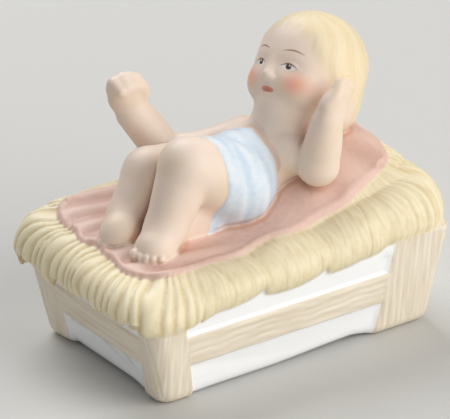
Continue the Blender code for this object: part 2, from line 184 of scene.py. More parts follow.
class Ball:
    """An ellipsoid of clay."""

    def __init__(self, centre, radii, blend=1.0, axes=None):
        self.centre = np.array(centre, float)
        self.radii = np.ones(3) * radii
        self.axes = np.eye(3) if axes is None else np.array(axes, float)
        self.blend = blend
        self.middle, self.size = self.centre, self.radii.max()

    def distance(self, p):
        q = (p - self.centre) @ self.axes.T
        near = np.linalg.norm(q / self.radii, axis=1)
        slope = np.linalg.norm(q / self.radii**2, axis=1)
        return np.where(near < 0.1, -self.radii.min(), near * (near - 1) / np.maximum(slope, 1e-9))

    def add_to(self, bm, place):
        turn = Matrix(self.axes.T.tolist()).to_4x4()
        own = Matrix.Translation(self.centre.tolist()) @ turn @ Matrix.Diagonal((*self.radii, 1))
        bmesh.ops.create_icosphere(bm, subdivisions=3, radius=1, matrix=place @ own)


class Limb:
    """A round limb of clay along a smooth line of points, each with its own radius."""

    def __init__(self, rows, blend=1.0):
        self.line = smooth_line(rows)
        self.blend = blend
        self.middle = (self.line[0, :3] + self.line[-1, :3]) / 2
        spread = np.linalg.norm(self.line[:, :3] - self.middle, axis=1) + self.line[:, 3]
        self.size = spread.max()

    def distance(self, p):
        best = np.full(len(p), FAR)
        for a, b in zip(self.line, self.line[1:]):
            along = b[:3] - a[:3]
            t = np.clip((p - a[:3]) @ along / (along @ along), 0, 1)
            gap = np.linalg.norm(p - a[:3] - t[:, None] * along, axis=1)
            best = np.minimum(best, gap - a[3] - t * (b[3] - a[3]))
        return best

    def add_to(self, bm, place):
        for x, y, z, r in self.line:
            own = Matrix.Translation((x, y, z)) @ Matrix.Scale(r, 4)
            bmesh.ops.create_icosphere(bm, subdivisions=2, radius=1, matrix=place @ own)


def melt(a, b, blend):
    """The lower of two distances, with a soft joint."""
    h = np.clip(0.5 + 0.5 * (a - b) / blend, 0, 1)
    return a * (1 - h) + b * h - blend * h * (1 - h)


def melted(parts, p, total=None):
    """The joined distance of the parts, each worked out only where it is close."""
    total = np.full(len(p), FAR) if total is None else total
    for part in parts:
        close = ((p - part.middle) ** 2).sum(1) < (part.size + REACH) ** 2
        if close.any():
            total[close] = melt(total[close], part.distance(p[close]), part.blend)
    return total


def step(x, low, high):
    """0 below low, 1 above high, smooth between."""
    t = np.clip((x - low) / (high - low), 0, 1)
    return t * t * (3 - 2 * t)


def bump(x, width):
    """1 in the middle, fading over about the width."""
    return np.exp(-(x / width) ** 2)


def rounded(x, y, half_x, half_y, radius):
    """Plan distance outside a rectangle with round corners."""
    qx, qy = np.abs(x) - half_x + radius, np.abs(y) - half_y + radius
    return np.hypot(np.maximum(qx, 0), np.maximum(qy, 0)) + np.minimum(np.maximum(qx, qy), 0) - radius


# Baby, in millimetres from the middle of the crate's top edge
def head_ball(x, y, z, radii, blend=1.0):
    return Ball(at_head(x, y, z), HEAD_SIZE * np.array(radii), blend * HEAD_SIZE, HEAD_AXES)


def head_limb(rows, blend=1.0):
    return Limb([(*at_head(x, y, z), r * HEAD_SIZE) for x, y, z, r in rows], blend * HEAD_SIZE)


EYE_X, EYE_Y = 4.3, -1.6
MOUTH_Y = -7.5
UPPER_LIP = ((-1.9, 0, 10.7, 0.2), (-0.7, 0.55, 11.45, 0.42), (0, 0.42, 11.6, 0.4),
             (0.7, 0.55, 11.45, 0.42), (1.9, 0, 10.7, 0.2))
LOWER_LIP = ((-1.5, -0.25, 10.7, 0.2), (0, -0.65, 11.15, 0.58), (1.5, -0.25, 10.7, 0.2))
LID = ((-2.0, -0.2, -0.7), (-1.0, 0.75, 0.05), (0.1, 1.0, 0.2), (1.2, 0.7, -0.15), (2.1, -0.1, -1.0))


def head_parts():
    """Skull, jaw, chin, cheeks, nose and ears."""
    parts = [
        head_ball(0, 1.4, -1.2, (12.3, 12.0, 13.2)),
        head_ball(0, -3.8, 3.4, (9.8, 8.8, 9.0), 3.0),
        head_ball(0, -9.6, 1.5, (6.5, 4.5, 6.5), 3.0),
        head_ball(0, -10.2, 7.6, (3.6, 2.7, 3.2), 2.0),
        head_ball(0, -6.2, -4.6, (10.6, 9.4, 10.6), 3.0),
    ]
    for side in (-1, 1):
        parts.append(head_ball(side * 5.2, -5.9, 6.3, (4.4, 4.2, 4.4), 2.2))
    parts.append(head_limb([(0, -1.0, 11.4, 0.9), (0, -4.2, 12.9, 1.15)], 1.3))
    for side in (-1, 1):
        parts.append(head_ball(side * 1.05, -4.6, 12.3, (0.8, 0.65, 0.8), 0.7))
        parts.append(head_ball(side * 12.0, -2.8, -1.2, (1.3, 2.5, 1.9), 0.5))
    return parts


def face_parts():
    """Eyeballs, lids and lips."""
    parts = []
    for side in (-1, 1):
        parts.append(head_ball(side * EYE_X, EYE_Y, 8.9, (2.3, 1.7, 2.2), 0.3))
        lid = [(side * (EYE_X + x), EYE_Y + y, 10.95 + z, 0.28) for x, y, z in LID]
        parts.append(head_limb(lid, 0.3))
    for lip in (UPPER_LIP, LOWER_LIP):
        parts.append(head_limb([(x, MOUTH_Y + y, z, r) for x, y, z, r in lip], 0.3))
    return parts


def torso_parts():
    """Chest, belly, hips, shoulders and neck."""
    return [
        Ball((9.0, 0, 19.6), (8.6, 11.2, 7.8)),
        Ball((1.0, 0, 17.0), (10.5, 11.6, 10.2), 3.0),
        Ball((-6.0, 0, 14.6), (9.5, 11.8, 9.0), 3.0),
        Ball((9.0, 9.3, 21.6), 5.2, 2.6),
        Ball((10.6, -9.3, 23.2), 5.2, 3.0),
        Limb([(12.0, 0, 23.4, 7.8), (*at_head(0, -11.0, 2.9), 8.3)], 3.0),
    ]


def right_arm():
    """The raised arm with its loosely closed hand."""
    wrist, palm = np.array((-14.9, 23.2, 29.4)), np.array((-16.6, 23.9, 34.4))
    parts = [
        Limb([(9.0, 9.3, 21.6, 5.2), (-0.6, 14.2, 18.9, 4.9), (-8.0, 19.6, 17.8, 4.9)], 2.0),
        Limb([(-8.0, 19.6, 17.8, 4.9), (-11.4, 21.8, 24.0, 4.9), (*wrist, 4.6)], 1.2),
        Ball(palm, (5.0, 3.7, 5.0), 1.6),
        Ball(palm + (-0.2, -1.6, 1.6), (4.4, 2.7, 3.8), 1.5),
    ]
    for out in (-3.4, -1.2, 1.0, 3.0):
        base = palm + (out, 0.4, 2.4)
        bend = palm + (out - 0.3, -0.6, 4.9 - 0.09 * (out + 0.6) ** 2)
        tip = palm + (0.85 * out - 0.4, -3.1, 3.4 - 0.06 * out**2)
        parts.append(Limb([(*base, 1.9), (*bend, 1.75), (*tip, 1.5)], 1.0))
    thumb = [(2.6, -1.0, -2.0, 2.2), (3.4, -2.2, 0.3, 1.9), (3.3, -2.8, 2.2, 1.6)]
    parts.append(Limb([(*(palm + row[:3]), row[3]) for row in thumb], 0.8))
    return parts


PALM_AXES = np.array(((-0.30, 0.95, 0.05), (0.95, 0.30, -0.05), (-0.06, 0.03, 1.0)))
PALM_AXES /= np.linalg.norm(PALM_AXES, axis=1)[:, None]


def left_arm():
    """The arm bent up beside the head, with an open hand."""
    parts = [
        Limb([(10.6, -9.3, 23.2, 5.0), (12.4, -13.0, 22.2, 4.4), (13.0, -16.8, 21.6, 5.1)], 0.8),
        Limb([(13.0, -16.8, 21.6, 5.1), (13.6, -17.9, 27.2, 4.8), (14.4, -18.5, 32.8, 4.0)], 1.0),
        Ball((15.9, -18.7, 36.6), (3.1, 4.4, 5.0), 1.6, PALM_AXES),
    ]
    for out in (-2.5, -0.9, 0.8, 2.4):
        base = np.array((16.6, -18.7, 38.0)) + out * PALM_AXES[1]
        tip = base + np.array((2.0, -0.1, 5.0 - 0.22 * out**2)) - 0.35 * out * PALM_AXES[1]
        middle = (base + tip) / 2 - 0.6 * PALM_AXES[0]
        parts.append(Limb([(*base, 1.8), (*middle, 1.7), (*tip, 1.3)], 1.1))
    parts.append(Limb([(17.6, -19.0, 34.8, 1.9), (18.8, -18.9, 37.4, 1.5), (19.2, -18.8, 39.0, 1.2)], 1.0))
    return parts


def leg(hip, knee, ankle, toes, thigh_r, knee_r, calf_r, ankle_r):
    """Thigh, shin and foot from four joints, each an x, y, z."""
    hip, knee, ankle, toes = (np.array(j, float) for j in (hip, knee, ankle, toes))
    calf = knee + 0.45 * (ankle - knee)
    mid = hip + 0.5 * (knee - hip)
    ahead = (toes - ankle) / np.linalg.norm(toes - ankle)
    across = np.cross((0, 0, 1), ahead)
    across /= np.linalg.norm(across)
    parts = [
        Limb([(*hip, thigh_r), (*mid, (thigh_r + knee_r) / 2 + 0.4), (*knee, knee_r)], 2.5),
        Limb([(*knee, knee_r), (*calf, calf_r), (*ankle, ankle_r)], 1.0),
        Limb([(*ankle, ankle_r), (*(ankle + 0.6 * (toes - ankle)), 4.8)], 1.4),
        Ball(toes - FOOT_BACK * ahead, FOOT_RADII, 1.8, (ahead, across, np.cross(ahead, across))),
    ]
    return parts, toes, ahead, across


def toe_parts(toes, ahead, across, big_side, reach, lift):
    """A row of toes bent around the front of the foot."""
    parts = []
    up = np.cross(ahead, across)
    for i, r in enumerate(TOE_RADII):
        out = big_side * (3.0 - TOE_PITCH * i - 0.25 * (i > 0))
        bend = math.sqrt(1 - (out / 5.6) ** 2)
        centre = toes - FOOT_BACK * ahead + out * across + bend * (reach * ahead + lift * up)
        parts.append(Ball(centre, (r, r, r), 0.15))
    return parts


def left_leg():
    """The near leg, with its knee higher."""
    parts, *foot = leg((-4.5, -5.5, 17.0), (-19.6, -7.6, 26.6), (-27.2, -9.0, 12.6), (-34.2, -12.3, 6.8),
                       10.0, 7.1, 6.2, 5.2)
    return parts + toe_parts(*foot, -1.0, 3.2, 2.9)


def right_leg():
    """The far leg."""
    parts, *foot = leg((-4.5, 6.0, 15.0), (-21.6, 6.4, 20.2), (-29.6, 4.4, 11.8), (-36.3, -1.0, 8.0),
                       9.6, 6.8, 6.0, 5.0)
    return parts + toe_parts(*foot, 1.0, 3.9, 0.3)


HEAD_PARTS = head_parts()
FACE_PARTS = face_parts()
TORSO_PARTS = torso_parts()
ARM_PARTS = right_arm() + left_arm()
LEG_PARTS = [left_leg(), right_leg()]
FILL = [
    Ball((-13.0, -5.5, 14.0), (9.5, 5.6, 9.5), 2.0),
    Ball((-18.5, -6.5, 9.5), (7.5, 4.2, 6.5), 2.0),
    Ball((-16.0, 5.5, 12.0), (8.0, 5.0, 7.0), 2.0),
]


def cloth_edge(q):
    """How far inside the cloth's two edges a point lies."""
    waist = 4.2 - 0.03 * q[:, 1] - q[:, 0]
    thigh = q[:, 0] + 13.0 + 0.3 * np.maximum(20 - q[:, 2], 0)
    return np.minimum(waist, thigh)


def cloth_folds(q):
    """Relief of the folds that run around the body."""
    round_body = np.arctan2(q[:, 1], q[:, 2] - 14)
    fold = CLOTH_FOLD * np.sin(0.85 * q[:, 0] + 2.2 * np.sin(1.3 * round_body + 0.4) + 0.5 * round_body)
    return fold + CLOTH_RIPPLE * np.sin(1.7 * q[:, 0] - 2.9 * np.sin(0.9 * round_body) + 1.1)


def hair_edge(e):
    """How far inside the hairline a point of the head lies."""
    x, y, z = e.T
    locks = 0.5 * np.sin(1.5 * x + 0.8) + 0.35 * np.sin(3.1 * x + 2.0)
    return 0.74 * (y - 7.3) - 0.67 * (z - 9.5) + 0.03 * x**2 * (z > 0) + locks * step(z, -4, 6)


def hair_strands(e):
    """Locks brushed from the crown: a number that rises from lock to lock."""
    x, y, z = e.T
    crown = np.arctan2(x, -z + 0.3 * y)
    return crown * 12 + 0.9 * np.sin(0.5 * y + 2 * crown) + 0.5 * np.sin(0.9 * z + crown)


def body_fields(p):
    """Distance to the baby, and the places that the paint follows."""
    q = p - np.array((0, 0, CRATE_HEIGHT))
    trunk = melted(TORSO_PARTS, q)
    arms = melted(ARM_PARTS, q)
    body = melt(trunk, arms, ARM_SEAM)
    body = melted(FILL, q, body)
    for parts in LEG_PARTS:
        body = melt(body, melted(parts, q), LEG_SEAM)
    cloth = np.minimum(cloth_edge(q), (arms - body) * 1.5 - 0.4)
    cloth = np.minimum(cloth, CLOTH_TOP - q[:, 2])
    relief = step(cloth, -0.25, 0.45) * (CLOTH_THICKNESS + cloth_folds(q) * step(cloth, 0.3, 2.5))
    body = body - relief
    head = melted(HEAD_PARTS, q)
    e = in_head(q)
    for side in (-1, 1):
        socket = e - np.array((side * EYE_X, EYE_Y, 12.0))
        head = head + (SOCKET_DEPTH * bump(socket[:, 0], 2.6) * bump(socket[:, 1], 1.7)
                       * bump(socket[:, 2], 4.0))
    head = melted(FACE_PARTS, q, head)
    head = head + (LIP_LINE_DEPTH * bump(e[:, 0], 1.5) * bump(e[:, 1] - MOUTH_Y + 0.05, 0.22)
                   * step(e[:, 2], 5, 9))
    hair = hair_edge(e)
    lock = np.sin(hair_strands(e))
    head = head - HEAD_SIZE * step(hair, -1.0, 2.6) * (HAIR_RELIEF + LOCK_RELIEF * lock)
    whole = melt(body, head, NECK_SEAM)
    return whole, cloth, np.where(head < body + 1.5, hair, -FAR), e


def body_surface(p):
    """Distance to the baby."""
    return body_fields(p)[0]


# Crate
def crate_plan(z):
    """Half the crate's length and width at a height."""
    rise = z / CRATE_HEIGHT
    return CRATE_LENGTH / 2 + FLARE_X * rise, CRATE_WIDTH / 2 + FLARE_Y * rise


def crate_top(x):
    """Height of the crate's top edge, which steps up to the posts at the head."""
    return CRATE_HEIGHT + HEAD_POST_RISE * step(x, 20, 32)


def from_edge(x, edge, soft):
    """0 before an edge and 1 past it, with a soft width on either side."""
    return step(x, edge - soft, edge + soft)


def crate_zones(p):
    """Shares of post, rail and plank at each point of the crate's sides."""
    x, y, z = p.T
    half_x, half_y = crate_plan(z)
    along = np.maximum(from_edge(-x, half_x - POST_AT_FEET, POST_EDGE),
                       from_edge(x, half_x - POST_AT_HEAD, POST_EDGE_HEAD))
    across = np.maximum(from_edge(-y, half_y - POST_NEAR, POST_EDGE),
                        from_edge(y, half_y - POST_FAR, POST_EDGE_FAR))
    on_long = np.abs(y) - half_y > np.abs(x) - half_x
    rail = from_edge(z, RAIL_MIDDLE - RAIL_WIDTH / 2, RAIL_EDGE)
    rail = rail * (1 - from_edge(z, RAIL_MIDDLE + RAIL_WIDTH / 2, RAIL_FADE))
    plank = from_edge(z, CRATE_HEIGHT - PLANK_DEPTH, RAIL_EDGE)
    under_straw = on_long * (y < 0) * step(x, *NEAR_PANEL_START) * (1 - step(x, *NEAR_PANEL_END))
    plank = plank * (1 - under_straw)
    return np.where(on_long, along, across), on_long, rail, plank


def grain(p, post, on_long, rail):
    """Wood grain: flutes down the posts and wavy lines along the rails."""
    x, y, z = p.T
    run = np.where(on_long, x, y)
    flute = np.sin(3.1 * run + 0.6 * np.sin(0.25 * z + run)) * 0.5 + 0.5
    wave = z + 0.35 * np.sin(0.21 * run + 1.0) + 0.15 * np.sin(0.7 * run)
    line = np.sin(3.3 * wave) * 0.5 + 0.5
    return FLUTE_DEPTH * post * flute**4 + GRAIN_DEPTH * (1 - post) * rail * line**3


def crate_surface(p):
    """Distance to the crate."""
    x, y, z = p.T
    half_x, half_y = crate_plan(z)
    post, on_long, rail, plank = crate_zones(p)
    proud = np.maximum(np.maximum(post, rail), plank)
    side = rounded(x, y, half_x, half_y, CORNER_RADIUS) + PANEL_DEPTH * (1 - proud)
    side = side + grain(p, post, on_long, rail)
    post_x = np.where(x < 0, POST_AT_FEET, POST_AT_HEAD)
    foot_x = 1 - step(half_x - np.abs(x), post_x - 3, post_x + 7)
    foot_y = 1 - step(half_y - np.abs(y), POST_NEAR - 2, POST_NEAR + 8)
    arch = ARCH_LONG + ARCH_RISE * step(x, -10, 18)
    low = arch * (1 - foot_x) + ARCH_SHORT * (1 - foot_y) * foot_x - z
    high = z - crate_top(x)
    d = -melt(-side, -low, FOOT_EDGE)
    return -melt(-d, -high, 1.0)


# Straw and blanket
def bed_frame(p):
    """Plan distance outside the straw's outline, and the way along that outline."""
    x, y, _ = p.T
    top_x, top_y = crate_plan(CRATE_HEIGHT)
    half_x = top_x + (STRAW_OVERHANG_FEET + STRAW_OVERHANG_HEAD) / 2
    half_y = top_y + (STRAW_OVERHANG_NEAR + STRAW_OVERHANG_FAR) / 2
    x = x + (STRAW_OVERHANG_FEET - STRAW_OVERHANG_HEAD) / 2
    y = y - (STRAW_OVERHANG_FAR - STRAW_OVERHANG_NEAR) / 2
    r = STRAW_CORNER_FEET + (STRAW_CORNER_HEAD - STRAW_CORNER_FEET) * step(x, -15, 15)
    out = rounded(x, y, half_x, half_y, r)
    r = STRAW_TURN
    core_x, core_y = half_x - r, half_y - r
    cx, cy = np.clip(x, -core_x, core_x), np.clip(y, -core_y, core_y)
    turn = np.arctan2(np.abs(y - cy), np.abs(x - cx) + 1e-9)
    quarter = r * math.pi / 2
    along_long = core_y + quarter + (core_x - np.abs(cx))
    along_short = np.abs(cy)
    s = np.where(np.abs(x) > core_x, along_short + r * turn * (np.abs(y) > core_y), along_long)
    return out, s * np.sign(y)


def blanket_edge(p):
    """How far inside the blanket's edge a point lies, in plan."""
    x, y, _ = p.T
    top_x, top_y = crate_plan(CRATE_HEIGHT)
    left = -top_x - STRAW_OVERHANG_FEET + BLANKET_MARGIN_FEET
    right = top_x + STRAW_OVERHANG_HEAD - BLANKET_MARGIN_HEAD
    near = -top_y - STRAW_OVERHANG_NEAR + BLANKET_MARGIN_NEAR
    far = top_y + STRAW_OVERHANG_FAR - BLANKET_MARGIN_FAR
    u, v = x - (left + right) / 2, y - (near + far) / 2
    radius = BLANKET_CORNER_FEET + (BLANKET_CORNER_HEAD - BLANKET_CORNER_FEET) * step(u, -12, 18)
    margin = -rounded(u, v, (right - left) / 2, (far - near) / 2, radius)
    angle = np.arctan2(v * 1.7, u)
    return margin + 0.55 * np.sin(9 * angle + 0.8) + 0.4 * np.sin(17 * angle + 2.0)


def blanket_folds(x, y):
    """Soft folds: along the crate at the feet, and fanning out around the head."""
    at_feet = step(-x, 8, 24) * np.sin(0.78 * y + 0.22 * x + 0.9 + 0.6 * np.sin(0.15 * x))
    angle = np.arctan2(y - 1, x - 18)
    fan = step(np.hypot(x - 18, y - 1), 9, 20) * step(x, 6, 20) * np.sin(9 * angle + 0.5)
    return FOLD_DEPTH * (at_feet + 0.8 * fan)


def top_height(x, y):
    """Height of the bedding over the crate's top edge, without straw or blanket relief."""
    rim = STRAW_HEIGHT + 0.07 * (y + 21) + 1.8 * step(x, -22, 8)
    rim = rim + 5.4 * step(x, 2, 34) + 1.5 * step(x, 28, 41)
    rim = rim - 1.3 * step(-x, 34, 42)
    end = 1 - 0.92 * step(x, 28, 45)
    dome = np.clip(1 - ((y - 1) / DOME_HALF_WIDTH) ** 2, 0, 1) ** 0.9
    return CRATE_HEIGHT + rim + DOME_HEIGHT * step(x, -8, 16) * end * dome


def bed_fields(p):
    """Distance to the bedding, and the places that the paint follows."""
    x, y, z = p.T
    out, way = bed_frame(p)
    inside = blanket_edge(p)
    on_blanket = step(inside, -0.5, 0.7)
    at_feet = step(-x, 24, 38)
    at_head_end = step(x, 26, 38)
    t = np.mod((x - LUMP_START) / LUMP_PITCH, 1.0)
    side_on = (1 - at_feet) * (1 - at_head_end)
    lump = np.sin(math.pi * t) ** 0.6 * side_on
    straw = LUMP_BULGE * (lump - 0.5 * side_on)
    drift = 0.7 * np.sin(0.37 * way) + 0.4 * np.sin(0.83 * way + 1) + 0.5 * np.sin(0.3 * out + 0.5 * way)
    bundle = np.abs(np.sin(math.pi * (way + drift) / BUNDLE_PITCH))
    bundle = BUNDLE_DEPTH * (bundle**0.7 - 0.7) * (at_feet + 0.5 * at_head_end)
    strand = np.sin(2 * math.pi * (way + 0.12 * out * np.sin(0.2 * way)) / STRAND_PITCH)
    groove = bump(np.mod(way + 3 * drift, GROOVE_PITCH) - 4, GROOVE_WIDTH) * step(drift, -0.4, 0.6)
    strand = STRAND_DEPTH * (strand * (0.5 * at_head_end + 0.12 * side_on) - 1.4 * groove * side_on)
    top = top_height(x, y)
    low = CRATE_HEIGHT - STRAW_DROP + 1.6 * t**3 * side_on + STRAW_RISE * step(x, 0, 32)
    low = low - STRAW_SAG * step(-x, 25, 33) * (1 - 0.85 * bump(y + 4, 6.5))
    low = np.minimum(low, crate_top(x) - STRAW_LAP)
    mid = low + UNDER_HEIGHT
    straw = straw + (bundle + strand) * step(z, low - 0.5, mid)
    straw = straw * (1 - on_blanket)
    above = z > mid
    width = np.where(above, STRAW_ROUND, UNDER_ROUND)
    height = np.where(above, top - mid, UNDER_HEIGHT)
    qu, qz = np.maximum(out + width, 0) / width, np.abs(z - mid) / height
    near = np.hypot(qu, qz)
    slope = np.hypot(qu / width, qz / height)
    d = np.where(near < 0.25, -3.0, near * (near - 1) / np.maximum(slope, 1e-9))
    folds = blanket_folds(x, y) * step(inside, 0.2, 3.0)
    rim = RIM_HEIGHT * bump(inside - 1.1, 0.7)
    d = d - straw - (BLANKET_THICKNESS + folds + rim) * on_blanket * (z > mid)
    return d, inside, bundle + strand, folds, way, out


def surface(p):
    """Distance to the whole figurine."""
    d = melt(crate_surface(p), bed_fields(p)[0], CRATE_SEAM)
    return melt(d, body_surface(p), BODY_SEAM)


def read_points(mesh):
    co = np.empty(len(mesh.vertices) * 3)
    mesh.vertices.foreach_get("co", co)
    return co.reshape(-1, 3)


def write_points(mesh, p):
    mesh.vertices.foreach_set("co", p.astype(np.float32).ravel())
    mesh.update()


def slope_of(p, here, h):
    """Gradient of the surface's distance at the points, where that distance is here."""
    return np.stack([(surface(p + h * e) - here) / h for e in np.eye(3)], 1)


def settle(mesh, leash, rounds=5, tolerance=0.004):
    """Moves the vertices onto the surface, none further than the leash."""
    p = read_points(mesh)
    start = p.copy()
    active = np.arange(len(p))
    for _ in range(rounds):
        q = p[active]
        d = surface(q)
        grad = slope_of(q, d, PROBE)
        move = -(d / np.maximum((grad**2).sum(1), LEAST_SLOPE))[:, None] * grad
        length = np.linalg.norm(move, axis=1)
        p[active] = q + move * np.minimum(1, LONGEST_MOVE / np.maximum(length, 1e-9))[:, None]
        active = active[length > tolerance]
        if not len(active):
            break
    moved = p - start
    length = np.linalg.norm(moved, axis=1)
    write_points(mesh, start + moved * np.minimum(1, leash / np.maximum(length, 1e-9))[:, None])


def clay_blocks(bm):
    """Rough solids that fill the whole shape."""
    place = Matrix.Translation((0, 0, CRATE_HEIGHT))
    for part in HEAD_PARTS + TORSO_PARTS + ARM_PARTS + FILL + LEG_PARTS[0] + LEG_PARTS[1]:
        part.add_to(bm, place)
    top_x, top_y = crate_plan(CRATE_HEIGHT)
    h = CRATE_HEIGHT
    blocks = ((-0.97, 0.97, 0.96, 1.0, h, 3.0), (-1.06, 1.04, 1.05, h - 1.0, h + 5.5, 9.0),
              (0.1, 1.0, 0.95, h, h + 9.0, 12.0))
    for x0, x1, half_y, z0, z1, corner in blocks:
        size = Matrix.Diagonal((top_x * (x1 - x0), 2 * top_y * half_y, z1 - z0, 1))
        middle = Matrix.Translation((top_x * (x0 + x1) / 2, 0, (z0 + z1) / 2))
        verts = bmesh.ops.create_cube(bm, size=1, matrix=middle @ size)["verts"]
        edges = {e for v in verts for e in v.link_edges if abs(e.verts[0].co.z - e.verts[1].co.z) > 1}
        bmesh.ops.bevel(bm, geom=list(edges), offset=corner, segments=5, profile=0.5, affect="EDGES")
    mound = Matrix.Translation((24, 1, 6)) @ Matrix.Diagonal((20, 20, 15, 1))
    bmesh.ops.create_icosphere(bm, subdivisions=3, radius=1, matrix=place @ mound)


def with_modifier(mesh, kind, **settings):
    """The mesh as one modifier leaves it."""
    obj = bpy.data.objects.new("clay", mesh)
    bpy.context.scene.collection.objects.link(obj)
    mod = obj.modifiers.new(kind.title(), kind)
    for name, value in settings.items():
        setattr(mod, name, value)
    out = bpy.data.meshes.new_from_object(obj.evaluated_get(bpy.context.evaluated_depsgraph_get()))
    bpy.data.objects.remove(obj)
    return out


def store(mesh, name, values, kind="FLOAT"):
    attribute = mesh.attributes.new(name, kind, "POINT")
    key = "vector" if kind == "FLOAT_VECTOR" else "value"
    attribute.data.foreach_set(key, np.ascontiguousarray(values, np.float32).ravel())


def crease_shading(p):
    """How much painted shade a point gets for being shut in: 0 on open faces, towards 1 in creases, only
    on and beside the baby.
    """
    here = surface(p)
    grad = slope_of(p, here, 2 * PROBE)
    grad /= np.maximum(np.linalg.norm(grad, axis=1), 1e-6)[:, None]
    lifted = p + CREASE_SHADE_REACH * grad
    shut = 1 - (surface(lifted) - here) / CREASE_SHADE_REACH
    return np.clip(2.2 * shut - 0.3, 0, 1) * (body_surface(p) < 2.5)


def store_paint_places(mesh):
    """Keeps on the mesh, in millimetres, the places that the paint follows."""
    p = read_points(mesh)
    body, cloth, hair, e = body_fields(p)
    bed, blanket, straw, folds, way, out = bed_fields(p)
    crate = crate_surface(p)
    post, on_long, rail, _ = crate_zones(p)
    store(mesh, "on_body", np.minimum(bed, crate) - body)
    store(mesh, "on_crate", bed - crate)
    store(mesh, "on_cloth", cloth)
    store(mesh, "cloth_fold", cloth_folds(p - np.array((0, 0, CRATE_HEIGHT))))
    store(mesh, "on_hair", hair)
    store(mesh, "hair_lock", hair_strands(e))
    store(mesh, "in_head", e, "FLOAT_VECTOR")
    store(mesh, "on_blanket", blanket)
    store(mesh, "blanket_fold", folds)
    store(mesh, "straw_relief", straw)
    store(mesh, "straw_place", np.stack((way, out, p[:, 2]), 1), "FLOAT_VECTOR")
    # Painted shade for the creases and hollows
    store(mesh, "painted_crease_shade", crease_shading(p))
    store(mesh, "post", post)
    store(mesh, "rail", rail)
    run = np.where(on_long, p[:, 0], p[:, 1])
    store(mesh, "run", np.stack((run, p[:, 2], on_long * 1.0), 1), "FLOAT_VECTOR")
    store(mesh, "place", p, "FLOAT_VECTOR")


def sculpt():
    """The whole figurine as one mesh in metres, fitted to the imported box."""
    bm = bmesh.new()
    clay_blocks(bm)
    mesh = bpy.data.meshes.new("figurine")
    bm.to_mesh(mesh)
    bm.free()
    for grain_size, leash in ((ROUGH_GRAIN, FAR), (FINE_GRAIN, FINE_GRAIN)):
        mesh = with_modifier(mesh, "REMESH", mode="VOXEL", voxel_size=grain_size)
        settle(mesh, leash)
    mesh = with_modifier(mesh, "DECIMATE", ratio=min(1.0, FACES / (2 * len(mesh.polygons))))
    store_paint_places(mesh)
    p = read_points(mesh)
    low, high = p.min(0), p.max(0)
    room = (np.array(cad_high) - np.array(cad_low)) / MM
    fit = np.minimum(1.0, room / (high - low))
    middle = (low + high) / 2
    middle[2] = low[2]
    write_points(mesh, (p - middle) * fit * MM)
    return mesh


# Paint
def linear(red, green, blue):
    """A colour given as it looks on screen, 0 to 255, in the renderer's own numbers."""
    values = []
    for c in (red, green, blue):
        c = c / 255
        values.append(c / 12.92 if c <= 0.04045 else ((c + 0.055) / 1.055) ** 2.4)
    return (*values, 1.0)


FLESH = linear(236, 216, 199)
# Painted shade: brownish flesh laid into creases and hollows
CREASE_SHADE = linear(196, 148, 118)
FLESH_STAIN = linear(232, 208, 168)
BLUSH = linear(246, 170, 142)
LIPS = linear(222, 118, 96)
BROW = linear(166, 122, 92)
LASH = linear(120, 92, 80)
# White of the eyes, also used for the painted highlight glint in each eye
EYE_WHITE_AND_GLINT = linear(240, 238, 236)
IRIS = linear(84, 62, 60)
HAIR_PALE = linear(238, 221, 186)
HAIR_DEEP = linear(226, 202, 152)
CLOTH_PALE = linear(222, 231, 237)
# Deeper blue, also the painted shade in the cloth's fold troughs
CLOTH_BLUE_AND_FOLD_SHADE = linear(198, 215, 230)
BLANKET_PINK = linear(230, 197, 182)
# Deeper pink, also the painted shade in the blanket's fold troughs
BLANKET_DEEP_AND_FOLD_SHADE = linear(208, 166, 151)
STRAW_PALE = linear(240, 228, 194)
# Deeper straw, used for random streaks and for the painted shade in the straw's grooves
STRAW_STREAK_AND_SHADE = linear(212, 190, 142)
WOOD_PALE = linear(237, 227, 208)
WOOD_DEEP = linear(222, 206, 182)
GLAZE = linear(248, 249, 250)
FLOOR_PAPER = linear(204, 203, 199)
BISQUE_ROUGHNESS = 0.42
ROUGHNESS_SPREAD = 0.16
GLAZE_SMOOTHING = 0.36
PORE_STRENGTH = 0.12
PORE_DEPTH = 0.0001


